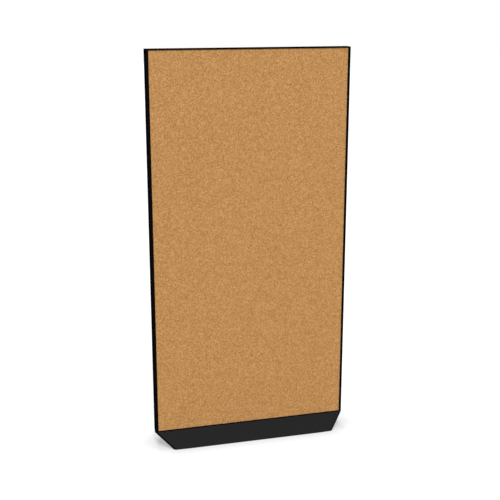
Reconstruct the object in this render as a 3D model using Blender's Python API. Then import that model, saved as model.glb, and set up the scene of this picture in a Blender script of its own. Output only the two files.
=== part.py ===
"""Freestanding double-sided corkboard on a low folded steel base.

Metres, +Z up, +X across the board, front face towards -Y.
The origin is on the floor, under the middle of the board.
"""
import math

import bmesh
import bpy
from mathutils import Vector

# Overall sizes
BOARD_WIDTH = 1.000
BOARD_HEIGHT = 1.982
PANEL_DEPTH = 0.060
BASE_HEIGHT = 0.069

# Gap between touching pieces, and how far a cutter runs past what it cuts
TOUCH_GAP = 0.0003
OVERRUN = 0.010

# Edge profiles of the panel
PROFILE_WALL = 0.002
PROFILE_CORNER = 0.0008
STILE_FACE = 0.0125
CAP_FACE = 0.0055

# Sheets of the panel
CORK_THICKNESS = 0.005
BACKING_THICKNESS = 0.008

# Frame inside the panel
BATTEN_WIDTH = 0.030
POST_WIDTH = 0.040
POST_WALL = 0.002
POST_SETBACK = 0.150
CROSSBAR_HEIGHT = 0.025
CROSSBAR_WALL = 0.0015
PLUG_HEIGHT = 0.045

# Screws that hold the profiles on the battens
SCREW_DIAMETER = 0.004
SCREW_HEAD_DIAMETER = 0.008
SCREW_HEAD_HEIGHT = 0.0011
SCREW_LENGTH = 0.025
SCREW_END_DISTANCE = 0.060
STILE_SCREW_COUNT = 4

# Sloping wings of the base
WING_REACH = 0.085
WING_INSET = 0.083
WING_SHEET = 0.004
WING_CORNER_RADIUS = 0.012
WING_EDGE_RADIUS = 0.006
FRONT_RETURN = 0.009
REAR_RETURN = 0.027
FLANGE_SPACING = 0.010
FLOOR_CLEARANCE = 0.0015

# Plates inside the base
SADDLE_THICKNESS = 0.008
SADDLE_SETBACK = 0.070
RIB_THICKNESS = 0.005
END_RIB_SETBACK = 0.012
INNER_RIB_OFFSET = 0.200
FLOOR_PLATE_THICKNESS = 0.008

# Bolts from the base into the posts
BOLT_DIAMETER = 0.008
BOLT_HEAD_WIDTH = 0.013
BOLT_HEAD_HEIGHT = 0.0053
BOLT_SPACING = 0.018
BOLT_ENGAGEMENT = 0.025
WASHER_DIAMETER = 0.016
WASHER_THICKNESS = 0.0016
WINDOW_MARGIN = 0.006

# Levelling feet
FOOT_SETBACK = 0.140
STEM_CLEARANCE = 0.0015
PAD_DIAMETER = 0.034
PAD_THICKNESS = 0.0045
PAD_CHAMFER = 0.001
STEM_DIAMETER = 0.010
STEM_LENGTH = 0.0235
STEM_SEAT_DEPTH = 0.002
STEM_CHAMFER = 0.0012
FOOT_NUT_WIDTH = 0.017
FOOT_NUT_HEIGHT = 0.006

# Facets of round pieces
ARC_STEPS = 5
SMALL_ROUND_SIDES = 16
LARGE_ROUND_SIDES = 32
HEX_SIDES = 6

# Places worked out from the sizes above
HALF_WIDTH = BOARD_WIDTH / 2
HALF_DEPTH = PANEL_DEPTH / 2
WING_TOP = BASE_HEIGHT - TOUCH_GAP
WING_DROP = WING_TOP - FLOOR_CLEARANCE
WING_LENGTH = math.hypot(WING_REACH, WING_DROP)
SLOPE_COS = WING_REACH / WING_LENGTH
SLOPE_SIN = WING_DROP / WING_LENGTH

STILE_LOW = BASE_HEIGHT + CAP_FACE + TOUCH_GAP
STILE_HIGH = BOARD_HEIGHT - CAP_FACE - TOUCH_GAP
INNER_LOW = BASE_HEIGHT + PROFILE_WALL + TOUCH_GAP
INNER_HIGH = BOARD_HEIGHT - PROFILE_WALL - TOUCH_GAP
SHEET_HALF_WIDTH = HALF_WIDTH - PROFILE_WALL - TOUCH_GAP
CORK_OUTER = HALF_DEPTH - PROFILE_WALL - TOUCH_GAP
CORK_INNER = CORK_OUTER - CORK_THICKNESS
BACKING_OUTER = CORK_INNER - TOUCH_GAP
BACKING_INNER = BACKING_OUTER - BACKING_THICKNESS
FRAME_HALF_DEPTH = BACKING_INNER - TOUCH_GAP
BATTEN_CENTRE = SHEET_HALF_WIDTH - BATTEN_WIDTH / 2

SADDLE_HIGH = WING_TOP - WING_SHEET - TOUCH_GAP
SADDLE_LOW = SADDLE_HIGH - SADDLE_THICKNESS
FLOOR_PLATE_LOW = PAD_THICKNESS + TOUCH_GAP
FLOOR_PLATE_HIGH = FLOOR_PLATE_LOW + FLOOR_PLATE_THICKNESS
RIB_LOW = FLOOR_PLATE_HIGH + TOUCH_GAP
RIB_HIGH = SADDLE_LOW - TOUCH_GAP
END_RIB_X = HALF_WIDTH - WING_INSET - END_RIB_SETBACK
STEM_SEAT = PAD_THICKNESS - STEM_SEAT_DEPTH
STEM_TOP = STEM_SEAT + TOUCH_GAP + STEM_LENGTH
POST_X = HALF_WIDTH - POST_SETBACK
INNER_RIB_X = POST_X - INNER_RIB_OFFSET

SIDES = {"left": -1, "right": 1}
FACES = {"front": -1, "rear": 1}


def clear_scene():
    for item in list(bpy.data.objects):
        bpy.data.objects.remove(item, do_unlink=True)


def make_material(name, colour, roughness, metallic=0.0):
    material = bpy.data.materials.new(name)
    material.use_nodes = True
    shader = material.node_tree.nodes["Principled BSDF"]
    shader.inputs["Base Color"].default_value = (*colour, 1.0)
    shader.inputs["Roughness"].default_value = roughness
    shader.inputs["Metallic"].default_value = metallic
    return material


def make_object(name, mesh_editor, material, smooth_angle=None):
    """Turn an edited mesh into a named object with its material."""
    bmesh.ops.remove_doubles(mesh_editor, verts=mesh_editor.verts, dist=TOUCH_GAP / 10)
    bmesh.ops.recalc_face_normals(mesh_editor, faces=mesh_editor.faces)
    mesh = bpy.data.meshes.new(name)
    mesh_editor.to_mesh(mesh)
    mesh_editor.free()
    mesh.materials.append(material)
    if smooth_angle:
        mesh.shade_smooth()
        mesh.set_sharp_from_angle(angle=math.radians(smooth_angle))
    item = bpy.data.objects.new(name, mesh)
    bpy.context.collection.objects.link(item)
    return item


def combine(item, tool_editor, operation):
    """Cut an object with a tool shape, or join the two, and drop the tool."""
    bmesh.ops.recalc_face_normals(tool_editor, faces=tool_editor.faces)
    tool_mesh = bpy.data.meshes.new("tool")
    tool_editor.to_mesh(tool_mesh)
    tool_editor.free()
    tool = bpy.data.objects.new("tool", tool_mesh)
    bpy.context.collection.objects.link(tool)
    modifier = item.modifiers.new("combine", "BOOLEAN")
    modifier.object = tool
    modifier.operation = operation
    modifier.solver = "EXACT"
    depsgraph = bpy.context.evaluated_depsgraph_get()
    result = bpy.data.meshes.new_from_object(item.evaluated_get(depsgraph))
    item.modifiers.remove(modifier)
    old_mesh = item.data
    result.name = item.name
    item.data = result
    bpy.data.meshes.remove(old_mesh)
    bpy.data.objects.remove(tool, do_unlink=True)
    bpy.data.meshes.remove(tool_mesh)


def add_loft(mesh_editor, rings):
    """Skin rings of points, the first and last of them closed by a face."""
    loops = [[mesh_editor.verts.new(point) for point in ring] for ring in rings]
    count = len(loops[0])
    for lower, upper in zip(loops, loops[1:]):
        for index in range(count):
            following = (index + 1) % count
            mesh_editor.faces.new((lower[index], lower[following], upper[following], upper[index]))
    mesh_editor.faces.new(loops[0][::-1])
    mesh_editor.faces.new(loops[-1])


def add_box(mesh_editor, low, high):
    corners = [(low[0], low[1]), (high[0], low[1]), (high[0], high[1]), (low[0], high[1])]
    add_loft(mesh_editor, [[(x, y, z) for x, y in corners] for z in (low[2], high[2])])


def add_round(mesh_editor, base, axis, sections, sides):
    """Turned solid: each section is a distance along the axis and a radius."""
    axis = Vector(axis)
    across = axis.orthogonal().normalized()
    beside = axis.cross(across)
    rings = []
    for distance, radius in sections:
        centre = Vector(base) + axis * distance
        angles = [math.tau * index / sides for index in range(sides)]
        rings.append([centre + across * radius * math.cos(angle) + beside * radius * math.sin(angle)
                      for angle in angles])
    add_loft(mesh_editor, rings)


def corner_arc(corner, before, after, radius):
    """Points of a fillet in a flat outline, between two neighbouring corners."""
    corner, before, after = Vector(corner), Vector(before), Vector(after)
    towards_before = (before - corner).normalized()
    towards_after = (after - corner).normalized()
    half_angle = towards_before.angle(towards_after) / 2
    start = corner + towards_before * radius / math.tan(half_angle)
    end = corner + towards_after * radius / math.tan(half_angle)
    centre = corner + (towards_before + towards_after).normalized() * radius / math.sin(half_angle)
    sweep = math.pi - 2 * half_angle
    points = []
    for step in range(ARC_STEPS + 1):
        angle = sweep * step / ARC_STEPS
        share_start = math.sin(sweep - angle) / math.sin(sweep)
        share_end = math.sin(angle) / math.sin(sweep)
        points.append(centre + (start - centre) * share_start + (end - centre) * share_end)
    return points


def make_box(name, low, high, material):
    mesh_editor = bmesh.new()
    add_box(mesh_editor, low, high)
    return make_object(name, mesh_editor, material)


def make_sheet(name, outer, inner, face, material):
    """Flat sheet of the panel, on its front or rear side."""
    depths = sorted((face * outer, face * inner))
    return make_box(name, (-SHEET_HALF_WIDTH, depths[0], INNER_LOW),
                    (SHEET_HALF_WIDTH, depths[1], INNER_HIGH), material)


def make_stile(name, side, material):
    """Channel along one side of the panel, its lips over the cork."""
    web = HALF_WIDTH - PROFILE_WALL
    lip = HALF_WIDTH - STILE_FACE
    inner_depth = HALF_DEPTH - PROFILE_WALL
    outline = [(lip, -inner_depth), (lip, -HALF_DEPTH)]
    outline += corner_arc((HALF_WIDTH, -HALF_DEPTH), (lip, -HALF_DEPTH), (HALF_WIDTH, 0), PROFILE_CORNER)
    outline += corner_arc((HALF_WIDTH, HALF_DEPTH), (HALF_WIDTH, 0), (lip, HALF_DEPTH), PROFILE_CORNER)
    outline += [(lip, HALF_DEPTH), (lip, inner_depth), (web, inner_depth), (web, -inner_depth)]
    mesh_editor = bmesh.new()
    add_loft(mesh_editor, [[(side * x, y, z) for x, y in outline] for z in (STILE_LOW, STILE_HIGH)])
    stile = make_object(name, mesh_editor, material, smooth_angle=30)
    combine(stile, screw_holes(stile_screw_places(side)), "DIFFERENCE")
    return stile


def make_cap(name, outer_z, up, material):
    """Shallow tray over the top of the panel, or under its foot."""
    outline = []
    corners = [(-HALF_WIDTH, -HALF_DEPTH), (HALF_WIDTH, -HALF_DEPTH),
               (HALF_WIDTH, HALF_DEPTH), (-HALF_WIDTH, HALF_DEPTH)]
    for index, corner in enumerate(corners):
        outline += corner_arc(corner, corners[index - 1], corners[(index + 1) % 4], PROFILE_CORNER)
    face_z = outer_z - up * CAP_FACE
    mesh_editor = bmesh.new()
    add_loft(mesh_editor, [[(x, y, z) for x, y in outline] for z in sorted((outer_z, face_z))])
    cap = make_object(name, mesh_editor, material, smooth_angle=30)
    hollow = bmesh.new()
    hollow_z = sorted((outer_z - up * PROFILE_WALL, face_z - up * OVERRUN))
    add_box(hollow, (PROFILE_WALL - HALF_WIDTH, PROFILE_WALL - HALF_DEPTH, hollow_z[0]),
            (HALF_WIDTH - PROFILE_WALL, HALF_DEPTH - PROFILE_WALL, hollow_z[1]))
    combine(cap, hollow, "DIFFERENCE")
    combine(cap, screw_holes(cap_screw_places(outer_z, up)), "DIFFERENCE")
    return cap


def make_tube(name, low, high, wall, long_axis, material):
    """Rectangular tube, open at both ends."""
    tube = make_box(name, low, high, material)
    bore = bmesh.new()
    bore_low = [value + wall for value in low]
    bore_high = [value - wall for value in high]
    bore_low[long_axis] = low[long_axis] - OVERRUN
    bore_high[long_axis] = high[long_axis] + OVERRUN
    add_box(bore, bore_low, bore_high)
    combine(tube, bore, "DIFFERENCE")
    return tube


def stile_screw_places(side):
    """Head centres on the stile's outer face, with the way each screw goes in."""
    first = BASE_HEIGHT + SCREW_END_DISTANCE
    step = (BOARD_HEIGHT - SCREW_END_DISTANCE - first) / (STILE_SCREW_COUNT - 1)
    return [((side * HALF_WIDTH, 0, first + step * index), (-side, 0, 0))
            for index in range(STILE_SCREW_COUNT)]


def cap_screw_places(outer_z, up):
    return [((side * BATTEN_CENTRE, 0, outer_z), (0, 0, -up)) for side in SIDES.values()]


def screw_holes(places):
    """Counterbored clearance holes for the screws."""
    cutter = bmesh.new()
    head = SCREW_HEAD_DIAMETER / 2 + TOUCH_GAP
    shank = SCREW_DIAMETER / 2 + TOUCH_GAP
    seat = SCREW_HEAD_HEIGHT + TOUCH_GAP
    for place, direction in places:
        add_round(cutter, place, direction,
                  [(-OVERRUN, head), (seat, head), (seat, shank), (SCREW_LENGTH + TOUCH_GAP, shank)],
                  SMALL_ROUND_SIDES)
    return cutter


def make_screws(name, places, material):
    head = SCREW_HEAD_DIAMETER / 2
    shank = SCREW_DIAMETER / 2
    for index, (place, direction) in enumerate(places):
        mesh_editor = bmesh.new()
        add_round(mesh_editor, place, direction,
                  [(0, head), (SCREW_HEAD_HEIGHT, head), (SCREW_HEAD_HEIGHT, shank),
                   (SCREW_LENGTH - shank, shank), (SCREW_LENGTH, shank / 2)], SMALL_ROUND_SIDES)
        make_object(f"{name}_{index + 1}", mesh_editor, material, smooth_angle=40)


def wing_point(face, x, along, inward):
    """Place on a wing: along its slope from the top edge, and inward from its outer face."""
    y = HALF_DEPTH + along * SLOPE_COS - inward * SLOPE_SIN
    z = WING_TOP - along * SLOPE_SIN - inward * SLOPE_COS
    return (x, face * y, z)


def wing_outline(inset):
    """Outline of a wing on its slope, with its slanted ends moved in."""
    end_length = math.hypot(WING_INSET, WING_LENGTH)
    shift = inset * end_length / WING_LENGTH
    top = HALF_WIDTH - shift
    foot = top - WING_INSET
    half = [(top, 0)]
    half += corner_arc((foot, WING_LENGTH), (top, 0), (0, WING_LENGTH), WING_CORNER_RADIUS)
    return [tuple(point) for point in half] + [(-point[0], point[1]) for point in half[::-1]]


def make_wing(name, face, turned_end, material):
    """Sloping plate with rounded, turned-in ends and a flange that goes under the panel."""
    rings = []
    for step in range(ARC_STEPS + 1):
        angle = math.pi / 2 * step / ARC_STEPS
        inward = WING_EDGE_RADIUS * (1 - math.cos(angle))
        outline = wing_outline(WING_EDGE_RADIUS * (1 - math.sin(angle)))
        rings.append([wing_point(face, x, along, inward) for x, along in outline])
    rings.append([wing_point(face, x, along, turned_end) for x, along in wing_outline(0)])
    mesh_editor = bmesh.new()
    add_loft(mesh_editor, rings)
    wing = make_object(name, mesh_editor, material, smooth_angle=30)

    end_shift = WING_SHEET * math.hypot(WING_INSET, WING_LENGTH) / WING_LENGTH
    lean = WING_INSET / WING_LENGTH
    top = HALF_WIDTH - end_shift + lean * OVERRUN
    foot = HALF_WIDTH - WING_INSET - end_shift - lean * OVERRUN
    outline = [(top, -OVERRUN), (foot, WING_LENGTH + OVERRUN),
               (-foot, WING_LENGTH + OVERRUN), (-top, -OVERRUN)]
    hollow = bmesh.new()
    add_loft(hollow, [[wing_point(face, x, along, inward) for x, along in outline]
                      for inward in (WING_SHEET, turned_end + OVERRUN)])
    combine(wing, hollow, "DIFFERENCE")

    flange = bmesh.new()
    depths = sorted((face * HALF_DEPTH, face * FLANGE_SPACING / 2))
    add_box(flange, (-HALF_WIDTH, depths[0], WING_TOP - WING_SHEET),
            (HALF_WIDTH, depths[1], WING_TOP))
    combine(wing, flange, "UNION")

    ground = bmesh.new()
    reach = HALF_DEPTH + WING_REACH + OVERRUN
    add_box(ground, (-HALF_WIDTH, -reach, -BASE_HEIGHT), (HALF_WIDTH, reach, FLOOR_CLEARANCE))
    combine(wing, ground, "DIFFERENCE")
    return wing


def clear_depth(height):
    """Half depth free between the wings at a height, less the gap that touching pieces keep."""
    outer = HALF_DEPTH + (WING_TOP - height) * SLOPE_COS / SLOPE_SIN
    return outer - WING_SHEET / SLOPE_SIN - TOUCH_GAP / SLOPE_SIN


def make_rib(name, centre_x, material):
    foot, head = clear_depth(RIB_LOW), clear_depth(RIB_HIGH)
    outline = [(-foot, RIB_LOW), (foot, RIB_LOW), (head, RIB_HIGH), (-head, RIB_HIGH)]
    mesh_editor = bmesh.new()
    add_loft(mesh_editor, [[(x, y, z) for y, z in outline]
                           for x in (centre_x - RIB_THICKNESS / 2, centre_x + RIB_THICKNESS / 2)])
    return make_object(name, mesh_editor, material)


def bolt_places():
    return [side * POST_X + offset * BOLT_SPACING / 2
            for side in SIDES.values() for offset in (-1, 1)]


def bolt_holes(low, high):
    cutter = bmesh.new()
    for x in bolt_places():
        add_round(cutter, (x, 0, low), (0, 0, 1), [(0, BOLT_DIAMETER / 2 + TOUCH_GAP),
                  (high - low, BOLT_DIAMETER / 2 + TOUCH_GAP)], SMALL_ROUND_SIDES)
    return cutter


def foot_places():
    """Foot axes, as far out as the wings leave room over the stems."""
    foot_x = HALF_WIDTH - FOOT_SETBACK
    foot_y = clear_depth(STEM_TOP) - STEM_DIAMETER / 2 - STEM_CLEARANCE
    return {face_name + "_" + side_name: (side * foot_x, face * foot_y)
            for face_name, face in FACES.items() for side_name, side in SIDES.items()}


def stem_holes(low, high):
    cutter = bmesh.new()
    for x, y in foot_places().values():
        add_round(cutter, (x, y, low), (0, 0, 1), [(0, STEM_DIAMETER / 2 + TOUCH_GAP),
                  (high - low, STEM_DIAMETER / 2 + TOUCH_GAP)], SMALL_ROUND_SIDES)
    return cutter


def make_panel(materials):
    for face_name, face in FACES.items():
        make_sheet(face_name + "_cork_sheet", CORK_OUTER, CORK_INNER, face, materials["cork"])
        make_sheet(face_name + "_backing_board", BACKING_OUTER, BACKING_INNER, face,
                   materials["fibreboard"])
    for side_name, side in SIDES.items():
        make_stile(side_name + "_stile", side, materials["black_profile"])
        make_screws(side_name + "_stile_screw", stile_screw_places(side), materials["black_screw"])
    for name, outer_z, up in (("top_cap", BOARD_HEIGHT, 1), ("bottom_cap", BASE_HEIGHT, -1)):
        cap = make_cap(name, outer_z, up, materials["black_profile"])
        make_screws(name + "_screw", cap_screw_places(outer_z, up), materials["black_screw"])
    combine(cap, bolt_holes(BASE_HEIGHT - OVERRUN, INNER_LOW + OVERRUN), "DIFFERENCE")


def make_inner_frame(materials):
    for side_name, side in SIDES.items():
        edges = sorted((side * SHEET_HALF_WIDTH, side * (SHEET_HALF_WIDTH - BATTEN_WIDTH)))
        batten = make_box(side_name + "_batten", (edges[0], -FRAME_HALF_DEPTH, INNER_LOW),
                          (edges[1], FRAME_HALF_DEPTH, INNER_HIGH), materials["timber"])
        places = stile_screw_places(side)
        places += cap_screw_places(BOARD_HEIGHT, 1) + cap_screw_places(BASE_HEIGHT, -1)
        for place in places:
            combine(batten, screw_holes([place]), "DIFFERENCE")
        centre = side * POST_X
        make_tube(side_name + "_post", (centre - POST_WIDTH / 2, -FRAME_HALF_DEPTH, INNER_LOW),
                  (centre + POST_WIDTH / 2, FRAME_HALF_DEPTH, INNER_HIGH), POST_WALL, 2,
                  materials["bare_steel"])
    names = ("bottom_crossbar", "lower_crossbar", "upper_crossbar", "top_crossbar")
    reach = POST_X - POST_WIDTH / 2 - TOUCH_GAP
    step = (INNER_HIGH - INNER_LOW - CROSSBAR_HEIGHT) / (len(names) - 1)
    for index, name in enumerate(names):
        low = INNER_LOW + step * index
        make_tube(name, (-reach, -FRAME_HALF_DEPTH, low),
                  (reach, FRAME_HALF_DEPTH, low + CROSSBAR_HEIGHT), CROSSBAR_WALL, 0,
                  materials["bare_steel"])
    half_x = POST_WIDTH / 2 - POST_WALL - TOUCH_GAP
    half_y = FRAME_HALF_DEPTH - POST_WALL - TOUCH_GAP
    for side_name, side in SIDES.items():
        centre = side * POST_X
        plug = make_box(side_name + "_post_plug", (centre - half_x, -half_y, INNER_LOW),
                        (centre + half_x, half_y, INNER_LOW + PLUG_HEIGHT), materials["bare_steel"])
        combine(plug, bolt_holes(INNER_LOW - OVERRUN, INNER_LOW + PLUG_HEIGHT + OVERRUN),
                "DIFFERENCE")


def make_base(materials):
    make_wing("front_wing", FACES["front"], FRONT_RETURN, materials["charcoal_steel"])
    make_wing("rear_wing", FACES["rear"], REAR_RETURN, materials["charcoal_steel"])

    saddle_half = HALF_WIDTH - SADDLE_SETBACK
    saddle_depth = clear_depth(SADDLE_HIGH)
    saddle = make_box("saddle_plate", (-saddle_half, -saddle_depth, SADDLE_LOW),
                      (saddle_half, saddle_depth, SADDLE_HIGH), materials["charcoal_steel"])
    combine(saddle, bolt_holes(SADDLE_LOW - OVERRUN, SADDLE_HIGH + OVERRUN), "DIFFERENCE")

    for side_name, side in SIDES.items():
        make_rib(side_name + "_end_rib", side * END_RIB_X, materials["charcoal_steel"])
        make_rib(side_name + "_inner_rib", side * INNER_RIB_X, materials["charcoal_steel"])

    plate_half = END_RIB_X + RIB_THICKNESS / 2
    plate_depth = clear_depth(FLOOR_PLATE_HIGH)
    plate = make_box("floor_plate", (-plate_half, -plate_depth, FLOOR_PLATE_LOW),
                     (plate_half, plate_depth, FLOOR_PLATE_HIGH), materials["charcoal_steel"])
    combine(plate, stem_holes(FLOOR_PLATE_LOW - OVERRUN, FLOOR_PLATE_HIGH + OVERRUN), "DIFFERENCE")
    windows = bmesh.new()
    window_x = (BOLT_SPACING + BOLT_HEAD_WIDTH) / 2 + WINDOW_MARGIN
    window_y = BOLT_HEAD_WIDTH / 2 + WINDOW_MARGIN
    for side in SIDES.values():
        centre = side * POST_X
        add_box(windows, (centre - window_x, -window_y, FLOOR_PLATE_LOW - OVERRUN),
                (centre + window_x, window_y, FLOOR_PLATE_HIGH + OVERRUN))
    combine(plate, windows, "DIFFERENCE")


def make_bolts(materials):
    washer_high = SADDLE_LOW - TOUCH_GAP
    washer_low = washer_high - WASHER_THICKNESS
    head_high = washer_low - TOUCH_GAP
    tip = INNER_LOW + BOLT_ENGAGEMENT
    hex_radius = BOLT_HEAD_WIDTH / 2 / math.cos(math.pi / HEX_SIDES)
    radius = BOLT_DIAMETER / 2
    for index, x in enumerate(bolt_places()):
        base = (x, 0, head_high - BOLT_HEAD_HEIGHT)
        length = tip - base[2]
        head = bmesh.new()
        add_round(head, base, (0, 0, 1), [(0, hex_radius), (BOLT_HEAD_HEIGHT, hex_radius)], HEX_SIDES)
        bolt = make_object(f"panel_bolt_{index + 1}", head, materials["zinc_steel"], smooth_angle=30)
        shank = bmesh.new()
        add_round(shank, base, (0, 0, 1),
                  [(BOLT_HEAD_HEIGHT / 2, radius), (length - radius / 2, radius), (length, radius / 2)],
                  SMALL_ROUND_SIDES)
        combine(bolt, shank, "UNION")
        disc = bmesh.new()
        add_round(disc, (x, 0, washer_low), (0, 0, 1), [(0, WASHER_DIAMETER / 2),
                  (WASHER_THICKNESS, WASHER_DIAMETER / 2)], LARGE_ROUND_SIDES)
        washer = make_object(f"bolt_washer_{index + 1}", disc, materials["zinc_steel"], smooth_angle=30)
        combine(washer, bolt_holes(washer_low - OVERRUN, washer_high + OVERRUN), "DIFFERENCE")


def make_feet(materials):
    nut_radius = FOOT_NUT_WIDTH / 2 / math.cos(math.pi / HEX_SIDES)
    nut_low = FLOOR_PLATE_HIGH + TOUCH_GAP
    for place_name, (x, y) in foot_places().items():
        nut_editor = bmesh.new()
        add_round(nut_editor, (x, y, nut_low), (0, 0, 1),
                  [(0, nut_radius), (FOOT_NUT_HEIGHT, nut_radius)], HEX_SIDES)
        nut = make_object(place_name + "_nut", nut_editor, materials["zinc_steel"], smooth_angle=30)
        combine(nut, stem_holes(nut_low - OVERRUN, nut_low + FOOT_NUT_HEIGHT + OVERRUN), "DIFFERENCE")
        axis = bpy.data.objects.new(place_name + "_foot_axis", None)
        axis.location = (x, y, 0)
        bpy.context.collection.objects.link(axis)
        pad_editor = bmesh.new()
        rim = PAD_DIAMETER / 2
        add_round(pad_editor, (0, 0, 0), (0, 0, 1),
                  [(0, rim - PAD_CHAMFER), (PAD_CHAMFER, rim), (PAD_THICKNESS - PAD_CHAMFER, rim),
                   (PAD_THICKNESS, rim - PAD_CHAMFER)], LARGE_ROUND_SIDES)
        pad = make_object(place_name + "_pad", pad_editor, materials["black_rubber"], smooth_angle=30)
        recess = bmesh.new()
        stem_radius = STEM_DIAMETER / 2
        add_round(recess, (0, 0, STEM_SEAT), (0, 0, 1), [(0, stem_radius + TOUCH_GAP),
                  (STEM_SEAT_DEPTH + OVERRUN, stem_radius + TOUCH_GAP)], SMALL_ROUND_SIDES)
        combine(pad, recess, "DIFFERENCE")
        stem_editor = bmesh.new()
        add_round(stem_editor, (0, 0, STEM_SEAT + TOUCH_GAP), (0, 0, 1),
                  [(0, stem_radius), (STEM_LENGTH - STEM_CHAMFER, stem_radius),
                   (STEM_LENGTH, stem_radius - STEM_CHAMFER)], SMALL_ROUND_SIDES)
        stem = make_object(place_name + "_stem", stem_editor, materials["zinc_steel"], smooth_angle=30)
        pad.parent = axis
        stem.parent = axis


def main():
    clear_scene()
    materials = {
        "cork": make_material("cork", (0.52, 0.27, 0.10), 0.85),
        "fibreboard": make_material("fibreboard", (0.35, 0.22, 0.12), 0.8),
        "timber": make_material("timber", (0.55, 0.38, 0.20), 0.7),
        "black_profile": make_material("black_profile", (0.010, 0.010, 0.011), 0.45, 0.3),
        "black_screw": make_material("black_screw", (0.012, 0.012, 0.013), 0.4, 0.8),
        "charcoal_steel": make_material("charcoal_steel", (0.021, 0.021, 0.022), 0.5, 0.3),
        "bare_steel": make_material("bare_steel", (0.45, 0.46, 0.47), 0.4, 0.9),
        "zinc_steel": make_material("zinc_steel", (0.60, 0.61, 0.60), 0.3, 1.0),
        "black_rubber": make_material("black_rubber", (0.015, 0.015, 0.015), 0.8),
    }
    make_panel(materials)
    make_inner_frame(materials)
    make_base(materials)
    make_bolts(materials)
    make_feet(materials)


main()
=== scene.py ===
"""Looks of a freestanding corkboard, built around its packed solids.

Laid out as an add-on with one operator for each group of pieces. It is run as a script.
"""

import math

import bmesh
import bpy
from bpy.props import FloatProperty, FloatVectorProperty, IntProperty, PointerProperty
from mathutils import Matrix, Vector


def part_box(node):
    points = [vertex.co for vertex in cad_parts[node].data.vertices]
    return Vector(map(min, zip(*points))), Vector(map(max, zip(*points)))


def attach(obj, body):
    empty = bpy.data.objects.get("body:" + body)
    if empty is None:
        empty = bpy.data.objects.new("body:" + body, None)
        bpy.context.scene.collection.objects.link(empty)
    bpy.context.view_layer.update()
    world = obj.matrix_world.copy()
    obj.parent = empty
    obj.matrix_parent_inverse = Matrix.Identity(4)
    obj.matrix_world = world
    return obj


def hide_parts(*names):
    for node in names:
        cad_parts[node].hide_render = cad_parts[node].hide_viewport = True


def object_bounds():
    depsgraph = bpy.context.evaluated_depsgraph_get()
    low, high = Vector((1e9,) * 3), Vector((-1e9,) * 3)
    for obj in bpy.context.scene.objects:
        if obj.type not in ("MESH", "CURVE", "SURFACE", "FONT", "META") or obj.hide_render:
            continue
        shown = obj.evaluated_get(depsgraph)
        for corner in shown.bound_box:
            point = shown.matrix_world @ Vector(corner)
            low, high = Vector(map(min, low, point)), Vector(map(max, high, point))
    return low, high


bl_info = {
    "name": "Freestanding corkboard",
    "version": (1, 0, 0),
    "blender": (4, 5, 0),
    "location": "3D View > Sidebar > Corkboard",
    "description": "Finishes and fine pieces for a corkboard on a folded steel base",
    "category": "Object",
}

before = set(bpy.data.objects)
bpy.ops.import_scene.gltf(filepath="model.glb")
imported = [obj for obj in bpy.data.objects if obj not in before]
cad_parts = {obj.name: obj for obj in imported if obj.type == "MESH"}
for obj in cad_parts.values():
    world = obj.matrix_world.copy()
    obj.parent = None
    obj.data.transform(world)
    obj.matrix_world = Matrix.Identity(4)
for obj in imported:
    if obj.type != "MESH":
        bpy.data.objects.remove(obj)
CAD_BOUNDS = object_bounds()

FEET = ("front_left", "front_right", "rear_left", "rear_right")
# Faces past this turn get the black end coat, which is painted shade on the turned ends
END_SHADE_TURN = 0.05  # A face whose normal turns this far sideways belongs to a turned end


def thickness(node, axis):
    low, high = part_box(node)
    return high[axis] - low[axis]


# Settings

class CorkSettings(bpy.types.PropertyGroup):
    """Granulated cork of the two pin faces."""
    light: FloatVectorProperty(
        name="Light granules", description="Colour of the palest granules",
        subtype="COLOR", size=3, min=0, max=1, default=(0.74, 0.425, 0.180))
    middle: FloatVectorProperty(
        name="Common granules", description="Colour of most granules",
        subtype="COLOR", size=3, min=0, max=1, default=(0.570, 0.288, 0.094))
    dark: FloatVectorProperty(
        name="Dark granules", description="Colour of the bark in the cork",
        subtype="COLOR", size=3, min=0, max=1, default=(0.31, 0.135, 0.038))
    granule: FloatProperty(
        name="Granule size", description="Width of a large granule",
        unit="LENGTH", min=0.0005, default=0.0048)
    relief: FloatProperty(
        name="Relief", description="Depth of the seams between granules",
        unit="LENGTH", min=0, default=0.00025)


class CoatSettings(bpy.types.PropertyGroup):
    """Powder coat of the profiles and the base."""
    black: FloatVectorProperty(
        name="Profile colour", description="Coat of the panel's edge profiles",
        subtype="COLOR", size=3, min=0, max=1, default=(0.0040, 0.0040, 0.0042))
    charcoal: FloatVectorProperty(
        name="Base colour", description="Coat of the base",
        subtype="COLOR", size=3, min=0, max=1, default=(0.0140, 0.0142, 0.0144))
    profile_roughness: FloatProperty(
        name="Profile roughness", description="Roughness of the edge profiles and turned ends",
        min=0, max=1, default=0.55)
    base_roughness: FloatProperty(
        name="Base roughness", description="Roughness of the base's plates and ribs",
        min=0, max=1, default=0.52)
    screw_roughness: FloatProperty(
        name="Screw roughness", description="Roughness of the blackened profile screws",
        min=0, max=1, default=0.45)
    screw_shine: FloatProperty(
        name="Screw shine", description="How much a blackened profile screw reflects",
        min=0, max=1, default=0.05)
    texture: FloatProperty(
        name="Texture size", description="Width of a bump in the powder coat",
        unit="LENGTH", min=0.0001, default=0.0011)
    texture_depth: FloatProperty(
        name="Texture depth", description="Height of a bump in the powder coat",
        unit="LENGTH", min=0, default=0.00004)


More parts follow.
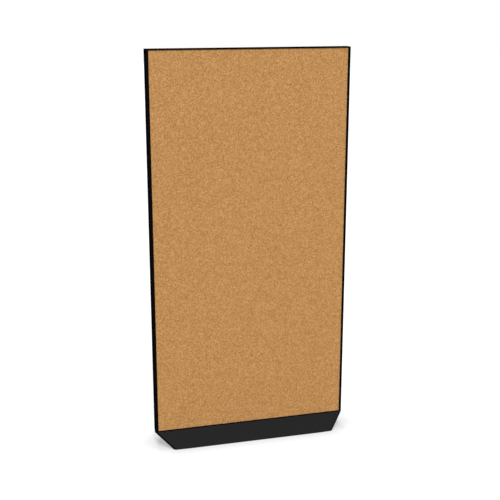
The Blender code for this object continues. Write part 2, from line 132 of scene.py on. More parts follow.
class BaseSettings(bpy.types.PropertyGroup):
    """Folded plates of the base."""
    end_inset: FloatProperty(
        name="End inset", description="How much shorter each end is at the floor than at the top",
        unit="LENGTH", min=0, default=0.083)
    sheet: FloatProperty(
        name="Sheet thickness", description="Thickness of the folded plates",
        unit="LENGTH", min=0.001, default=0.004)
    corner_radius: FloatProperty(
        name="Corner radius", description="Radius of the plates' floor corners",
        unit="LENGTH", min=0.001, default=0.012)
    edge_radius: FloatProperty(
        name="Edge radius", description="Radius where the slanted ends turn in",
        unit="LENGTH", min=0.001, default=0.006)
    front_return: FloatProperty(
        name="Front return", description="Depth of the front plate's turned ends",
        unit="LENGTH", min=0.001, default=0.009)
    rear_return: FloatProperty(
        name="Rear return", description="Depth of the rear plate's turned ends",
        unit="LENGTH", min=0.001, default=0.027)
    fold_radius: FloatProperty(
        name="Fold radius", description="Outer radius of the fold under the panel",
        unit="LENGTH", min=0.0005, default=0.003)


class FastenerSettings(bpy.types.PropertyGroup):
    """Screws, bolts, nuts and levelling feet."""
    screw_socket: FloatProperty(
        name="Screw socket", description="Width across flats of the socket in a profile screw",
        unit="LENGTH", min=0.001, default=0.0035)
    screw_chamfer: FloatProperty(
        name="Screw head edge", description="Rounding of a profile screw's head",
        unit="LENGTH", min=0.0001, default=0.0003)
    bolt_shank: FloatProperty(
        name="Bolt shank", description="Diameter of a panel bolt's shank",
        unit="LENGTH", min=0.001, default=0.008)
    clearance: FloatProperty(
        name="Clearance",
        description="Gap round a shank or stem, and between a head and its washer",
        unit="LENGTH", min=0.0001, default=0.0003)
    hex_rim: FloatProperty(
        name="Hexagon rim", description="How far a hexagon's round end reaches past its flats",
        unit="LENGTH", min=0.00005, default=0.00016)
    pitch: FloatProperty(
        name="Stem thread pitch", description="Distance between two crests of a stem's thread",
        unit="LENGTH", min=0.0005, default=0.0015)
    thread_depth: FloatProperty(
        name="Stem thread depth", description="Depth of a foot stem's thread",
        unit="LENGTH", min=0.0001, default=0.0009)
    tread_rings: IntProperty(
        name="Pad tread rings", description="Grooves in the underside of a foot pad",
        min=1, default=3)


class StageSettings(bpy.types.PropertyGroup):
    """Floor, light and camera."""
    floor_size: FloatProperty(
        name="Floor size", description="Width of the studio floor",
        unit="LENGTH", min=1, default=60)
    floor_colour: FloatVectorProperty(
        name="Floor colour", description="Colour of the studio floor",
        subtype="COLOR", size=3, min=0, max=1, default=(0.15, 0.15, 0.15))
    floor_glow: FloatProperty(
        name="Floor glow", description="How far the open floor looks lifted towards white",
        min=0, max=1, default=0.87)
    # The lift beside the base and under its edges is lowered, which paints the floor's contact
    # shadow
    near_glow_painted_shadow: FloatProperty(
        name="Glow beside the base", description="The lift that is left right beside the object",
        min=0, max=1, default=0.66)
    hidden_glow_painted_shadow: FloatProperty(
        name="Glow under an edge",
        description="The lift that is left where an edge hides the floor",
        min=0, max=1, default=0.44)
    contact_reach: FloatProperty(
        name="Contact shadow", description="How far from the object the lift starts to fade",
        unit="LENGTH", min=0.001, default=0.12)
    ambient: FloatProperty(
        name="Ambient", description="Strength of the studio's all-round light",
        min=0, default=0.72)
    front_sun: FloatProperty(
        name="Front overhead light",
        description="Strength of the overhead light on the front",
        min=0, default=2.85)
    rear_sun: FloatProperty(
        name="Rear overhead light",
        description="Strength of the overhead light on the rear",
        min=0, default=1.9)
    sun_lean: FloatProperty(
        name="Light lean", description="How far each overhead light leans from straight down",
        subtype="ANGLE", min=0, default=math.radians(32))
    sun_size: FloatProperty(
        name="Light size", description="Angle that each overhead light fills",
        subtype="ANGLE", min=0, default=math.radians(9))
    target: FloatVectorProperty(
        name="Camera target", description="Point that the camera looks at",
        subtype="TRANSLATION", unit="LENGTH", size=3, default=(-0.0051, -0.030, 0.9979))
    distance: FloatProperty(
        name="Camera distance", description="From the camera to its target",
        unit="LENGTH", min=0.1, default=4.641)
    azimuth: FloatProperty(
        name="Camera azimuth", description="How far the camera stands to the left of the front",
        subtype="ANGLE", default=math.radians(15))
    elevation: FloatProperty(
        name="Camera elevation", description="How far the camera looks down",
        subtype="ANGLE", default=math.radians(15))
    view_angle: FloatProperty(
        name="View angle", description="Field of view across the picture",
        subtype="ANGLE", min=0.01, default=math.radians(30))


SETTINGS = {
    "cork_settings": CorkSettings,
    "coat_settings": CoatSettings,
    "base_settings": BaseSettings,
    "fastener_settings": FastenerSettings,
    "stage_settings": StageSettings,
}


# Modelling helpers

def clear_selection():
    if bpy.context.object and bpy.context.object.mode != "OBJECT":
        bpy.ops.object.mode_set(mode="OBJECT")
    bpy.ops.object.select_all(action="DESELECT")


def add_primitive(kind, name, **sizes):
    """Adds a primitive mesh with nothing else selected, and names it."""
    clear_selection()
    getattr(bpy.ops.mesh, f"primitive_{kind}_add")(**sizes)
    piece = bpy.context.object
    piece.name = name
    piece.data.name = name
    return piece


def activate(piece):
    clear_selection()
    piece.select_set(True)
    bpy.context.view_layer.objects.active = piece


def edit(piece, kind="FACE"):
    """Opens a piece in edit mode with nothing selected."""
    activate(piece)
    bpy.ops.object.mode_set(mode="EDIT")
    bpy.ops.mesh.select_mode(type=kind)
    bpy.ops.mesh.select_all(action="DESELECT")


def close_edit():
    bpy.ops.object.mode_set(mode="OBJECT")


def middle(element):
    if isinstance(element, bmesh.types.BMVert):
        return element.co.copy()
    corners = [vertex.co for vertex in element.verts]
    return sum(corners, Vector()) / len(corners)


def choose(piece, kind, test):
    """In edit mode, selects only what passes a test on its middle and on itself."""
    bpy.ops.mesh.select_all(action="DESELECT")
    editor = bmesh.from_edit_mesh(piece.data)
    editor.select_mode = {kind}
    elements = {"VERT": editor.verts, "EDGE": editor.edges, "FACE": editor.faces}[kind]
    for element in elements:
        element.select_set(bool(test(middle(element), element)))
    editor.select_flush_mode()
    bmesh.update_edit_mesh(piece.data)


def is_level(edge, step):
    """Whether both ends of an edge stand at the same multiple of a height."""
    return len({round(vertex.co.z / step) for vertex in edge.verts}) == 1


def apply_modifier(piece, kind, **settings):
    activate(piece)
    modifier = piece.modifiers.new(kind.lower(), kind)
    for name, value in settings.items():
        setattr(modifier, name, value)
    bpy.ops.object.modifier_apply(modifier=modifier.name)


def cut(piece, cutter):
    """Takes a cutter's shape out of a piece, and drops the cutter."""
    apply_modifier(piece, "BOOLEAN", operation="DIFFERENCE", solver="EXACT", object=cutter)
    bpy.data.objects.remove(cutter, do_unlink=True)


def set_place(piece):
    """Moves an object's place into its mesh."""
    activate(piece)
    bpy.ops.object.transform_apply(location=True, rotation=True, scale=True)


def smooth(piece, angle=35):
    activate(piece)
    bpy.ops.object.shade_smooth_by_angle(angle=math.radians(angle))


def copy_to(piece, name, place, turn=None):
    """Copy with its own mesh, turned and then moved, its place in its mesh."""
    twin = piece.copy()
    twin.data = piece.data.copy()
    twin.name = name
    twin.data.name = name
    bpy.context.collection.objects.link(twin)
    if turn:
        twin.rotation_mode = "QUATERNION"
        twin.rotation_quaternion = turn
    twin.location = place
    set_place(twin)
    return twin


def remove(piece):
    bpy.data.objects.remove(piece, do_unlink=True)


def dress(piece, body, nodes, material):
    """Gives a finished piece its material and its body, and hides the solids that it stands for."""
    piece.data.materials.clear()
    piece.data.materials.append(material)
    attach(piece, body)
    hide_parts(*nodes)


def repaint(node, material):
    """Better material for a solid that stays in view."""
    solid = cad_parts[node]
    solid.data.materials.clear()
    solid.data.materials.append(material)


# Materials

class Output:
    """An output socket, or a number, whose arithmetic adds Math nodes."""

    def __init__(self, finish, socket):
        self.finish = finish
        self.socket = socket

    def math(self, operation, *values):
        settings = {"operation": operation}
        return self.finish.node("ShaderNodeMath", settings, dict(enumerate(values)))

    def __add__(self, other):
        return self.math("ADD", self, other)

    def __radd__(self, other):
        return self.math("ADD", other, self)

    def __mul__(self, other):
        return self.math("MULTIPLY", self, other)

    def __rmul__(self, other):
        return self.math("MULTIPLY", other, self)


class Nodes:
    """Adds nodes to a node tree."""

    def __init__(self, tree):
        self.tree = tree

    def node(self, kind, settings, values, output=0):
        """Adds a node: its settings first, then the values or links of its sockets."""
        node = self.tree.nodes.new(kind)
        for name, value in settings.items():
            if name == "stops":
                ramp = node.color_ramp
                for index, (position, colour) in enumerate(value):
                    stop = ramp.elements[index] if index < 2 else ramp.elements.new(position)
                    stop.position = position
                    stop.color = (*colour, 1)
            else:
                setattr(node, name, value)
        for name, value in values.items():
            self.feed(node.inputs[name], value)
        return Output(self, node.outputs[output])

    def feed(self, socket, value):
        if isinstance(value, Output):
            self.tree.links.new(value.socket, socket)
        else:
            socket.default_value = value

    def seen(self):
        """1 for what the camera sees, also by reflection or through glass, and otherwise 0."""
        rays = [self.node("ShaderNodeLightPath", {}, {}, f"Is {kind} Ray")
                for kind in ("Camera", "Glossy", "Transmission")]
        return rays[0].math("MAXIMUM", rays[0].math("MAXIMUM", rays[0], rays[1]), rays[2])


class Finish(Nodes):
    """A material that is worked out on the piece's own coordinates."""

    def __init__(self, name, **constants):
        self.material = bpy.data.materials.new(name)
        self.material.use_nodes = True
        super().__init__(self.material.node_tree)
        self.surface = self.tree.nodes["Principled BSDF"]
        self.place = self.node("ShaderNodeTexCoord", {}, {}, "Object")
        for name, value in constants.items():
            label = name.replace("_", " ").title().replace("Ior", "IOR")
            self.surface.inputs[label].default_value = value

    def set(self, name, value):
        self.feed(self.surface.inputs[name], value)

    def noise(self, size, detail=2.0, roughness=0.5, place=None):
        """Noise whose features are about size metres wide, from 0 to 1."""
        return self.node("ShaderNodeTexNoise", {}, {
            "Vector": place or self.place, "Scale": 1 / size,
            "Detail": detail, "Roughness": roughness})

    def cells(self, size, output, feature="F1"):
        return self.node("ShaderNodeTexVoronoi", {"feature": feature}, {
            "Vector": self.place, "Scale": 1 / size}, output)

    def stretch(self, scale):
        """Object coordinates, scaled along each axis."""
        return self.node("ShaderNodeMapping", {}, {"Vector": self.place, "Scale": scale})

    def ramp(self, value, *stops):
        return self.node("ShaderNodeValToRGB", {"stops": stops}, {0: value}, "Color")

    def mix(self, factor, first, second):
        values = {0: factor, 6: first, 7: second}
        return self.node("ShaderNodeMix", {"data_type": "RGBA"}, values, 2)

    def bump(self, height, depth, strength=1.0):
        self.set("Normal", self.node("ShaderNodeBump", {}, {
            "Height": height, "Distance": depth, "Strength": strength}))


def grey(value):
    return (value, value, value)


def opaque(colour):
    return (*colour, 1)


def scaled(colour, factor):
    return tuple(min(1.0, channel * factor) for channel in colour)


def cork_finish(cork):
    """Pressed granules of several sizes, some of them dark bark, with fine seams between them."""
    finish = Finish("granulated_cork", specular_ior_level=0.15)
    size = cork.granule
    small_size, speck_size, pore_size, patch_size = 0.45 * size, 0.8 * size, 0.25 * size, 9 * size
    dark, common, light = cork.dark, cork.middle, cork.light
    black, white = grey(0), grey(1)

    large = finish.ramp(finish.cells(size, "Color"), (0.15, dark), (0.85, light), (0.5, common))
    small = finish.ramp(finish.cells(small_size, "Color"), (0.1, dark), (0.9, light), (0.5, common))
    small_share = 0.45
    colour = finish.mix(small_share, large, small)
    patches = finish.noise(patch_size, detail=3)
    colour = finish.mix(0.12 * patches, colour, opaque(dark))
    specks = finish.ramp(finish.noise(speck_size, detail=1, roughness=0.4),
                         (0.66, black), (0.72, white))
    colour = finish.mix(0.55 * specks, colour, opaque(dark))
    finish.set("Base Color", colour)

    seams = finish.cells(size, "Distance", feature="DISTANCE_TO_EDGE")
    pores = finish.noise(pore_size, detail=2)
    height = finish.ramp(seams, (0.0, black), (0.12, white))
    finish.set("Roughness", 0.82 + 0.15 * pores)
    finish.bump(0.6 * height + 0.4 * pores, cork.relief, 0.7)
    return finish.material


def coat_finish(name, colour, coat, roughness, shine=0.0):
    """Satin powder coat: fine orange peel, and a faint change of sheen, with painted shade in the
    peel's hollows and painted highlight on its crests.
    """
    finish = Finish(name, specular_ior_level=shine)
    peel = finish.noise(coat.texture, detail=2)
    sheen = finish.noise(coat.texture * 60, detail=3)
    # The colour follows the bump: it is darker in the peel's hollows and lighter on its crests,
    # which is painted shade and painted highlight
    hollow, crest = scaled(colour, 0.86), scaled(colour, 1.14)
    finish.set("Base Color", finish.mix(peel, opaque(hollow), opaque(crest)))
    finish.set("Roughness", roughness - 0.05 + 0.06 * peel + 0.05 * sheen)
    finish.bump(peel, coat.texture_depth)
    return finish.material


def drawn_steel_finish(name, colour, axis):
    """Mill-finish tube, with drawing lines along one axis and faint oil stains."""
    finish = Finish(name, metallic=1.0)
    scale = [1.0, 1.0, 1.0]
    scale[axis] = 0.02
    lines = finish.noise(0.0006, detail=3, place=finish.stretch(scale))
    stains = finish.noise(0.035, detail=4, roughness=0.6)
    finish.set("Base Color", finish.mix(stains, opaque(scaled(colour, 0.72)), opaque(colour)))
    finish.set("Roughness", 0.34 + 0.12 * lines + 0.10 * stains)
    finish.bump(lines, 0.00002, 0.6)
    return finish.material


def zinc_finish():
    """Bright zinc plate with a fine crystal pattern."""
    finish = Finish("zinc_plate", metallic=1.0)
    dull, bright = (0.52, 0.53, 0.53), (0.74, 0.75, 0.73)
    crystals = finish.cells(0.0016, "Color")
    finish.set("Base Color", finish.ramp(crystals, (0.0, dull), (1.0, bright)))
    finish.set("Roughness", 0.24 + 0.14 * finish.noise(0.004, detail=3))
    return finish.material


def timber_finish():
    """Planed softwood with the grain along the batten."""
    finish = Finish("planed_pine", roughness=0.7)
    late_wood, common, early_wood = (0.36, 0.21, 0.095), (0.56, 0.38, 0.20), (0.66, 0.47, 0.26)
    along = finish.stretch((1.0, 1.0, 0.05))
    rings = finish.noise(0.004, detail=3, roughness=0.6, place=along)
    fibres = finish.noise(0.0007, detail=2, place=along)
    finish.set("Base Color", finish.ramp(0.75 * rings + 0.25 * fibres, (0.32, late_wood),
                                         (0.70, early_wood), (0.5, common)))
    finish.bump(fibres, 0.00006)
    return finish.material


def fibreboard_finish():
    """Pressed wood fibres with stray dark ones."""
    finish = Finish("pressed_fibreboard", roughness=0.85)
    dark, pale = (0.22, 0.13, 0.07), (0.46, 0.31, 0.19)
    fibres = finish.noise(0.0012, detail=4, roughness=0.7)
    patches = finish.noise(0.03, detail=2)
    finish.set("Base Color", finish.ramp(0.7 * fibres + 0.3 * patches, (0.3, dark), (0.7, pale)))
    finish.bump(fibres, 0.00008)
    return finish.material


def rubber_finish():
    """Moulded black rubber, slightly dusty."""
    finish = Finish("moulded_rubber", specular_ior_level=0.3)
    clean, dusty = grey(0.010), (0.035, 0.034, 0.032)
    dust = finish.noise(0.003, detail=4, roughness=0.65)
    finish.set("Base Color", finish.mix(0.5 * dust, opaque(clean), opaque(dusty)))
    finish.set("Roughness", 0.62 + 0.2 * dust)
    finish.bump(dust, 0.00005)
    return finish.material


# Pieces

class CORKBOARD_OT_panel(bpy.types.Operator):
    """Gives the cork, boards and edge profiles of the panel their finishes"""
    bl_idname = "corkboard.panel"
    bl_label = "Finish the panel"

    def execute(self, context):
        scene = context.scene
        cork = cork_finish(scene.cork_settings)
        board = fibreboard_finish()
        coat = scene.coat_settings
        profile = coat_finish("black_powder_coat", coat.black, coat, coat.profile_roughness)
        for face in ("front", "rear"):
            repaint(f"{face}_cork_sheet", cork)
            repaint(f"{face}_backing_board", board)
        for node in ("left_stile", "right_stile", "top_cap", "bottom_cap"):
            repaint(node, profile)
        return {"FINISHED"}


class CORKBOARD_OT_frame(bpy.types.Operator):
    """Gives the battens, posts and crossbars inside the panel their finishes"""
    bl_idname = "corkboard.frame"
    bl_label = "Finish the inner frame"

    def execute(self, context):
        timber = timber_finish()
        steel = (0.45, 0.46, 0.47)
        upright = drawn_steel_finish("drawn_steel_upright", steel, 2)
        level = drawn_steel_finish("drawn_steel_level", steel, 0)
        for side in ("left", "right"):
            repaint(f"{side}_batten", timber)
            repaint(f"{side}_post", upright)
            repaint(f"{side}_post_plug", upright)
        for place in ("bottom", "lower", "upper", "top"):
            repaint(f"{place}_crossbar", level)
        return {"FINISHED"}


class CORKBOARD_OT_screws(bpy.types.Operator):
    """Models the socket screws of the edge profiles"""
    bl_idname = "corkboard.screws"
    bl_label = "Make the profile screws"

    def execute(self, context):
        coat = context.scene.coat_settings
        material = coat_finish("blackened_screw", coat.black, coat, coat.screw_roughness,
                               coat.screw_shine)
        screw = self.model(context.scene.fastener_settings)
        directions = {"left_stile_screw": Vector((-1, 0, 0)),
                      "right_stile_screw": Vector((1, 0, 0)),
                      "top_cap_screw": Vector((0, 0, 1)),
                      "bottom_cap_screw": Vector((0, 0, -1))}
        for node in sorted(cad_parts):
            outward = directions.get(node.rpartition("_")[0])
            if outward is None:
                continue
            low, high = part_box(node)
            centre = (low + high) / 2
            half_length = abs(outward.dot(high - low)) / 2
            turn = Vector((0, 0, 1)).rotation_difference(outward)
            twin = copy_to(screw, node + "_socket_head", centre + outward * half_length, turn)
            dress(twin, "board", [node], material)
        remove(screw)
        return {"FINISHED"}

    def model(self, sizes):
        """Screw with its head's outer face at the origin, pointing up."""
        low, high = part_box("top_cap_screw_1")
        length = high.z - low.z
        head_radius = (high.x - low.x) / 2
        head_height = head_radius * 0.275
        shank_radius = head_radius / 2
        screw = add_primitive("cylinder", "screw", vertices=48, radius=head_radius,
                              depth=head_height, location=(0, 0, -head_height / 2))
        set_place(screw)
        edit(screw, "EDGE")
        choose(screw, "EDGE", lambda place, edge: place.z > -head_height / 4)
        bpy.ops.mesh.bevel(offset=sizes.screw_chamfer, segments=3, affect="EDGES")
        choose(screw, "FACE", lambda place, face: face.normal.z < -0.9)
        bpy.ops.mesh.inset(thickness=head_radius - shank_radius, depth=0)
        bpy.ops.mesh.extrude_region_move(
            TRANSFORM_OT_translate={"value": (0, 0, head_height + shank_radius - length)})
        bpy.ops.mesh.extrude_region_move(TRANSFORM_OT_translate={"value": (0, 0, -shank_radius)})
        bpy.ops.transform.resize(value=(0.5, 0.5, 1), center_override=(0, 0, -length))
        close_edit()
        socket_depth = head_height * 0.7
        socket = add_primitive("cylinder", "socket", vertices=6,
                               radius=sizes.screw_socket / 2 / math.cos(math.pi / 6),
                               depth=2 * socket_depth, location=(0, 0, 0))
        cut(screw, socket)
        smooth(screw)
        return screw


class CORKBOARD_OT_base(bpy.types.Operator):
    """Models the two folded sloping plates, and finishes the plates and ribs inside the base"""
    bl_idname = "corkboard.base"
    bl_label = "Make the base"

    def execute(self, context):
        coat = context.scene.coat_settings
        sizes = context.scene.base_settings
        material = coat_finish("charcoal_powder_coat", coat.charcoal, coat, coat.base_roughness)
        # The turned ends get the profiles' black as painted shade, in place of the shade on ends
        # that face away from the light
        end_shade_material = coat_finish("painted_shade_end_coat", coat.black, coat, coat.profile_roughness)
        for name, turned_end in (("front_wing", sizes.front_return),
                                 ("rear_wing", sizes.rear_return)):
            wing = self.fold_plate(name, turned_end, sizes)
            dress(wing, "board", [name], material)
            self.paint_end_shade(wing, end_shade_material)
        for node in ("saddle_plate", "floor_plate", "left_end_rib", "left_inner_rib",
                     "right_inner_rib", "right_end_rib"):
            repaint(node, material)
        return {"FINISHED"}

    def paint_end_shade(self, wing, material):
        """Painted shade: the profiles' black coat on the slanted ends, from where the edge has
        rolled away from the plate, standing in for the shade on the unlit ends.
        """
        wing.data.materials.append(material)
        edit(wing, "FACE")
        choose(wing, "FACE", lambda place, face: abs(face.normal.x) > END_SHADE_TURN)
        wing.active_material_index = 1
        bpy.ops.object.material_slot_assign()
        close_edit()

    def fold_plate(self, node, turned_end, sizes):
        """Plate on its slope, with turned-in ends and a flange that lies under the panel."""
        low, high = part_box(node)
        half_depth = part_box("left_stile")[1].y
        half_width = high.x
        reach = max(abs(low.y), abs(high.y)) - half_depth
        drop = high.z - low.z
        length = math.hypot(reach, drop)
        slope = math.atan2(drop, reach)
        flange = half_depth - min(abs(low.y), abs(high.y))

        plate = add_primitive("plane", node + "_folded", size=1)
        edit(plate, "VERT")
        self.shape_outline(plate, half_width, length, sizes)
        self.turn_ends(plate, length, turned_end, sizes)
        self.fold_flange(plate, half_width, flange, slope, sizes)
        bpy.ops.mesh.select_all(action="SELECT")
        bpy.ops.mesh.normals_make_consistent(inside=False)
        close_edit()

        apply_modifier(plate, "SOLIDIFY", thickness=sizes.sheet, offset=-1, use_even_offset=True,
                       thickness_clamp=0)
        activate(plate)
        plate.rotation_euler = (slope, 0, 0)
        plate.location = (0, -half_depth, high.z)
        set_place(plate)
        edit(plate, "FACE")
        bpy.ops.mesh.select_all(action="SELECT")
        bpy.ops.mesh.bisect(plane_co=(0, 0, low.z), plane_no=(0, 0, 1),
                            use_fill=True, clear_inner=True)
        close_edit()
        if high.y > half_depth:
            plate.rotation_euler = (0, 0, math.pi)
            set_place(plate)
        smooth(plate, 28)
        return plate

    def shape_outline(self, plate, half_width, length, sizes):
        """Flat plate that narrows towards the floor, with rounded floor corners."""
        bpy.ops.mesh.select_all(action="SELECT")
        bpy.ops.transform.resize(value=(2 * half_width, length, 1))
        bpy.ops.transform.translate(value=(0, -length / 2, 0))
        foot_share = (half_width - sizes.end_inset) / half_width
        choose(plate, "VERT", lambda place, vertex: place.y < -length / 2)
        bpy.ops.transform.resize(value=(foot_share, 1, 1), center_override=(0, -length, 0))

        corner_angle = math.pi - math.atan2(length, sizes.end_inset)
        choose(plate, "VERT", lambda place, vertex: place.y < -length / 2)
        bpy.ops.mesh.bevel(offset=sizes.corner_radius / math.tan(corner_angle / 2),
                           offset_type="OFFSET", segments=8, affect="VERTICES")

    def turn_ends(self, plate, length, turned_end, sizes):
        """Turns the slanted ends in, with a rolled edge."""
        bpy.ops.mesh.select_all(action="SELECT")
        bpy.ops.mesh.extrude_region_move(TRANSFORM_OT_translate={"value": (0, 0, -turned_end)})
        choose(plate, "FACE", lambda place, face: abs(face.normal.z) > 0.9
               and place.z < -turned_end / 2)
        bpy.ops.mesh.delete(type="FACE")
        margin = sizes.corner_radius / 1000
        choose(plate, "FACE", lambda place, face: abs(face.normal.z) < 0.5
               and (place.y > -margin or place.y < margin - length))
        bpy.ops.mesh.delete(type="FACE")

        choose(plate, "EDGE", lambda place, edge: len(edge.link_faces) == 2
               and all(abs(v.co.z) < margin for v in edge.verts))
        bpy.ops.mesh.bevel(offset=sizes.edge_radius, segments=8, affect="EDGES")

    def fold_flange(self, plate, half_width, flange, slope, sizes):
        """Draws a flange out of the top edge, level once the plate is on its slope."""
        margin = sizes.corner_radius / 1000
        choose(plate, "EDGE", lambda place, edge: place.y > -margin and abs(place.z) < margin
               and edge.calc_length() > half_width)
        bpy.ops.mesh.extrude_region_move(TRANSFORM_OT_translate={
            "value": (0, flange * math.cos(slope), -flange * math.sin(slope))})
        choose(plate, "EDGE", lambda place, edge: abs(place.y) < margin
               and len(edge.link_faces) == 2 and edge.calc_length() > half_width)
        bpy.ops.mesh.bevel(offset=sizes.fold_radius * math.tan(slope / 2), segments=5,
                           affect="EDGES")


class CORKBOARD_OT_bolts(bpy.types.Operator):
    """Models the bolts and washers that hold the panel on its base"""
    bl_idname = "corkboard.bolts"
    bl_label = "Make the panel bolts"

    def execute(self, context):
        material = zinc_finish()
        sizes = context.scene.fastener_settings
        bolt = self.model_bolt(sizes)
        washer = self.model_washer(sizes)
        for index in range(1, 5):
            low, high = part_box(f"panel_bolt_{index}")
            place = Vector(((low.x + high.x) / 2, (low.y + high.y) / 2, low.z))
            twin = copy_to(bolt, f"hex_bolt_{index}", place)
            dress(twin, "board", [f"panel_bolt_{index}"], material)
            low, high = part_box(f"bolt_washer_{index}")
            place.z = low.z
            twin = copy_to(washer, f"flat_washer_{index}", place)
            dress(twin, "board", [f"bolt_washer_{index}"], material)
        remove(bolt)
        remove(washer)
        return {"FINISHED"}

    def model_bolt(self, sizes):
        """Bolt that stands on its head at the origin."""
        low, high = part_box("panel_bolt_1")
        hex_radius = max(high.x - low.x, high.y - low.y) / 2
        washer_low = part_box("bolt_washer_1")[0].z
        head_height = washer_low - low.z - sizes.clearance
        length = high.z - low.z
        radius = sizes.bolt_shank / 2
        bolt = add_primitive("cylinder", "bolt", vertices=6, radius=hex_radius, depth=head_height,
                             location=(0, 0, head_height / 2))
        set_place(bolt)
        chamfer_hexagon(bolt, hex_radius, sizes.hex_rim, (0,))
        shank = add_primitive("cylinder", "shank", vertices=32, radius=radius,
                              depth=length - head_height / 2,
                              location=(0, 0, (length + head_height / 2) / 2))
        set_place(shank)
        edit(shank, "EDGE")
        choose(shank, "EDGE", lambda place, edge: all(v.co.z > length * 0.99 for v in edge.verts))
        bpy.ops.mesh.bevel(offset=radius / 4, segments=2, affect="EDGES")
        close_edit()
        apply_modifier(bolt, "BOOLEAN", operation="UNION", solver="EXACT", object=shank)
        remove(shank)
        smooth(bolt, 25)
        return bolt

    def model_washer(self, sizes):
        low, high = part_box("bolt_washer_1")
        radius = (high.x - low.x) / 2
        height = high.z - low.z
        washer = add_primitive("cylinder", "washer", vertices=48, radius=radius, depth=height,
                               location=(0, 0, height / 2))
        set_place(washer)
        edit(washer, "EDGE")
        choose(washer, "EDGE", lambda place, edge: is_level(edge, height))
        bpy.ops.mesh.bevel(offset=height / 6, segments=2, affect="EDGES")
        close_edit()
        bore = add_primitive("cylinder", "bore", vertices=48, depth=4 * height,
                             radius=sizes.bolt_shank / 2 + sizes.clearance)
        cut(washer, bore)
        smooth(washer)
        return washer


def chamfer_hexagon(piece, radius, rim, ends):
    """Turns off a hexagon's corners at 30 degrees, at the ends that stand at the given heights."""
    end_radius = radius * math.cos(math.pi / 6) + rim
    depth = 3 * radius
    wide_radius = end_radius + depth * math.tan(math.pi / 3)
    for height in ends:
        radii = (end_radius, wide_radius) if height == 0 else (wide_radius, end_radius)
        middle_height = depth / 2 if height == 0 else height - depth / 2
        tool = add_primitive("cone", "chamfer", vertices=64, radius1=radii[0], radius2=radii[1],
                             depth=depth, location=(0, 0, middle_height))
        set_place(tool)
        apply_modifier(piece, "BOOLEAN", operation="INTERSECT", solver="EXACT", object=tool)
        remove(tool)


class CORKBOARD_OT_feet(bpy.types.Operator):
    """Models the levelling feet and the nuts that they turn in"""
    bl_idname = "corkboard.feet"
    bl_label = "Make the levelling feet"

    def execute(self, context):
        sizes = context.scene.fastener_settings
        zinc = zinc_finish()
        rubber = rubber_finish()
        pad = self.model_pad(sizes)
        stem = self.model_stem(sizes)
        nut = self.model_nut(sizes)
        for foot in FEET:
            low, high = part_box(foot + "_pad")
            place = Vector(((low.x + high.x) / 2, (low.y + high.y) / 2, low.z))
            twin = copy_to(pad, foot + "_tread_pad", place)
            dress(twin, foot + "_foot", [foot + "_pad"], rubber)
            place.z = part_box(foot + "_stem")[0].z
            twin = copy_to(stem, foot + "_threaded_stem", place)
            dress(twin, foot + "_foot", [foot + "_stem"], zinc)
            place.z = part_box(foot + "_nut")[0].z
            twin = copy_to(nut, foot + "_weld_nut", place)
            dress(twin, "board", [foot + "_nut"], zinc)
        for model in (pad, stem, nut):
            remove(model)
        return {"FINISHED"}

    def model_pad(self, sizes):
        """Round pad with ring grooves underneath and a seat for the stem."""
        radius = thickness("front_left_pad", 0) / 2
        height = thickness("front_left_pad", 2)
        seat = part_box("front_left_stem")[0].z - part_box("front_left_pad")[0].z
        seat_radius = thickness("front_left_stem", 0) / 2 + sizes.clearance
        seat_floor = seat - sizes.clearance
        pad = add_primitive("cylinder", "pad", vertices=64, radius=radius, depth=height,
                            location=(0, 0, height / 2))
        set_place(pad)
        edit(pad, "EDGE")
        choose(pad, "EDGE", lambda place, edge: is_level(edge, height))
        bpy.ops.mesh.bevel(offset=height / 4, segments=4, affect="EDGES")
        close_edit()
        hole = add_primitive("cylinder", "seat", vertices=32, radius=seat_radius, depth=height,
                             location=(0, 0, seat_floor + height / 2))
        cut(pad, hole)
        step = radius / (sizes.tread_rings + 1)
        for ring in range(1, sizes.tread_rings + 1):
            groove = add_primitive("torus", "groove", major_radius=ring * step,
                                   minor_radius=height / 9, major_segments=64,
                                   minor_segments=8, location=(0, 0, 0))
            cut(pad, groove)
        smooth(pad)
        return pad

    def model_stem(self, sizes):
        """Threaded rod with its foot at the origin, ring after ring of thread."""
        radius = thickness("front_left_stem", 0) / 2
        length = thickness("front_left_stem", 2)
        plain = sizes.pitch * 1.2
        flank = sizes.pitch * 0.45
        crest = sizes.pitch - 2 * flank
        root_share = (radius - sizes.thread_depth) / radius
        stem = add_primitive("circle", "stem", vertices=40, radius=radius, fill_type="NGON")
        edit(stem, "FACE")
        bpy.ops.mesh.select_all(action="SELECT")
        bpy.ops.mesh.extrude_region_move(TRANSFORM_OT_translate={"value": (0, 0, plain)})
        turns = int((length - plain) / sizes.pitch)
        for turn in range(turns):
            for share, rise in ((root_share, flank), (1 / root_share, flank), (1, crest)):
                bpy.ops.mesh.extrude_region_move(TRANSFORM_OT_translate={"value": (0, 0, rise)})
                bpy.ops.transform.resize(value=(share, share, 1))
        rest = length - plain - turns * sizes.pitch
        bpy.ops.mesh.extrude_region_move(TRANSFORM_OT_translate={"value": (0, 0, rest)})
        bpy.ops.transform.resize(value=(root_share, root_share, 1))
        bpy.ops.mesh.select_all(action="SELECT")
        bpy.ops.mesh.remove_doubles(threshold=sizes.pitch / 1000)
        bpy.ops.mesh.normals_make_consistent(inside=False)
        close_edit()
        smooth(stem)
        return stem

    def model_nut(self, sizes):
        node = "front_left_nut"
        hex_radius = max(thickness(node, 0), thickness(node, 1)) / 2
        height = thickness(node, 2)
        nut = add_primitive("cylinder", "nut", vertices=6, radius=hex_radius, depth=height,
                            location=(0, 0, height / 2))
        set_place(nut)
        chamfer_hexagon(nut, hex_radius, sizes.hex_rim, (0, height))
        bore = add_primitive("cylinder", "bore", vertices=40, depth=4 * height,
                             radius=thickness("front_left_stem", 0) / 2 + sizes.clearance)
        cut(nut, bore)
        smooth(nut, 25)
        return nut


# Stage

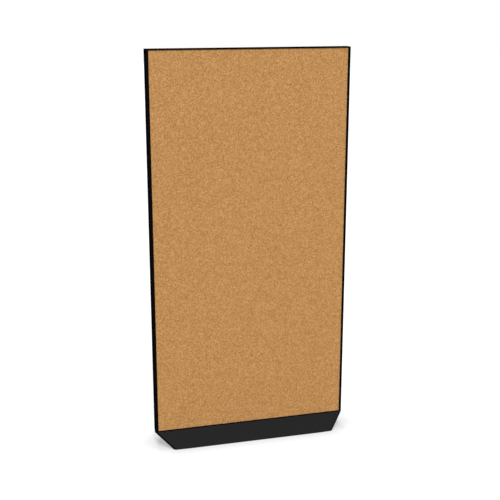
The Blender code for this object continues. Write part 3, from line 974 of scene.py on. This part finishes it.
class CORKBOARD_OT_stage(bpy.types.Operator):
    """Sets up the studio floor, the light and the camera"""
    bl_idname = "corkboard.stage"
    bl_label = "Set the stage"

    def execute(self, context):
        stage = context.scene.stage_settings
        self.add_floor(stage)
        self.add_sun("front_overhead_light", stage.front_sun, -stage.sun_lean, stage)
        self.add_sun("rear_overhead_light", stage.rear_sun, stage.sun_lean, stage)
        self.add_world(stage)
        self.add_camera(stage)
        context.scene.view_settings.view_transform = "Standard"
        return {"FINISHED"}

    def add_floor(self, stage):
        floor = add_primitive("plane", "studio_floor", size=stage.floor_size)
        finish = Finish("studio_floor", roughness=0.9, specular_ior_level=0.0,
                        emission_strength=1.0)
        finish.set("Base Color", opaque(stage.floor_colour))
        # Painted shadow: the camera sees the floor lifted towards white by emission, and the lift
        # is lowered where ambient occlusion finds the object near, so the contact shadow and the
        # grey patches under the base's ends are mostly painted shade; the lamps add a smaller part
        # through the floor's dark colour
        open_share = finish.node("ShaderNodeAmbientOcclusion", {"samples": 16},
                                 {"Distance": stage.contact_reach}, "AO")
        hidden, near, far = stage.hidden_glow_painted_shadow, stage.near_glow_painted_shadow, stage.floor_glow
        edge_glow_painted_shadow = 0.3 * hidden + 0.7 * near
        fading_glow_painted_shadow = 0.5 * near + 0.5 * far
        lift = finish.ramp(open_share, (0.45, grey(hidden)), (1.0, grey(far)),
                           (0.65, grey(edge_glow_painted_shadow)), (0.92, grey(near)), (0.98, grey(fading_glow_painted_shadow)))
        finish.set("Emission Color", finish.seen() * lift)
        floor.data.materials.append(finish.material)

    def add_sun(self, name, strength, lean, stage):
        """Overhead light from the rear, or from the front where its lean is negative."""
        light = bpy.data.lights.new(name, "SUN")
        light.energy = strength
        light.angle = stage.sun_size
        lamp = bpy.data.objects.new(name, light)
        lamp.rotation_euler = (-lean, 0, 0)
        lamp.location = (0, 0, CAD_BOUNDS[1].z * 2)
        bpy.context.collection.objects.link(lamp)

    def add_world(self, stage):
        """Even light all round, and plain white where the camera or a reflection sees it."""
        world = bpy.data.worlds.new("studio")
        bpy.context.scene.world = world
        world.use_nodes = True
        background = world.node_tree.nodes["Background"]
        background.inputs["Color"].default_value = (1, 1, 1, 1)
        nodes = Nodes(world.node_tree)
        strength = stage.ambient + (1 - stage.ambient) * nodes.seen()
        nodes.feed(background.inputs["Strength"], strength)

    def add_camera(self, stage):
        data = bpy.data.cameras.new("camera")
        data.angle = stage.view_angle
        camera = bpy.data.objects.new("camera", data)
        level = stage.distance * math.cos(stage.elevation)
        offset = Vector((-level * math.sin(stage.azimuth), -level * math.cos(stage.azimuth),
                         stage.distance * math.sin(stage.elevation)))
        camera.location = Vector(stage.target) + offset
        camera.rotation_euler = (-offset).to_track_quat("-Z", "Y").to_euler()
        bpy.context.collection.objects.link(camera)
        bpy.context.scene.camera = camera


OPERATORS = (CORKBOARD_OT_panel, CORKBOARD_OT_frame, CORKBOARD_OT_screws, CORKBOARD_OT_base,
             CORKBOARD_OT_bolts, CORKBOARD_OT_feet, CORKBOARD_OT_stage)


class CORKBOARD_PT_sidebar(bpy.types.Panel):
    """Lists the steps and their settings"""
    bl_idname = "CORKBOARD_PT_sidebar"
    bl_label = "Corkboard"
    bl_space_type = "VIEW_3D"
    bl_region_type = "UI"
    bl_category = "Corkboard"

    def draw(self, context):
        for name, group in SETTINGS.items():
            box = self.layout.box()
            box.label(text=group.__doc__)
            for prop in group.__annotations__:
                box.prop(getattr(context.scene, name), prop)
        for operator in OPERATORS:
            self.layout.operator(operator.bl_idname)


def register():
    for group in (*SETTINGS.values(), *OPERATORS, CORKBOARD_PT_sidebar):
        bpy.utils.register_class(group)
    for name, group in SETTINGS.items():
        setattr(bpy.types.Scene, name, PointerProperty(type=group))


def unregister():
    for name in SETTINGS:
        delattr(bpy.types.Scene, name)
    for group in (CORKBOARD_PT_sidebar, *reversed(OPERATORS), *reversed(SETTINGS.values())):
        bpy.utils.unregister_class(group)


def main():
    register()
    for step in ("panel", "frame", "screws", "base", "bolts", "feet", "stage"):
        getattr(bpy.ops.corkboard, step)()
    clear_selection()


if __name__ == "__main__":
    main()
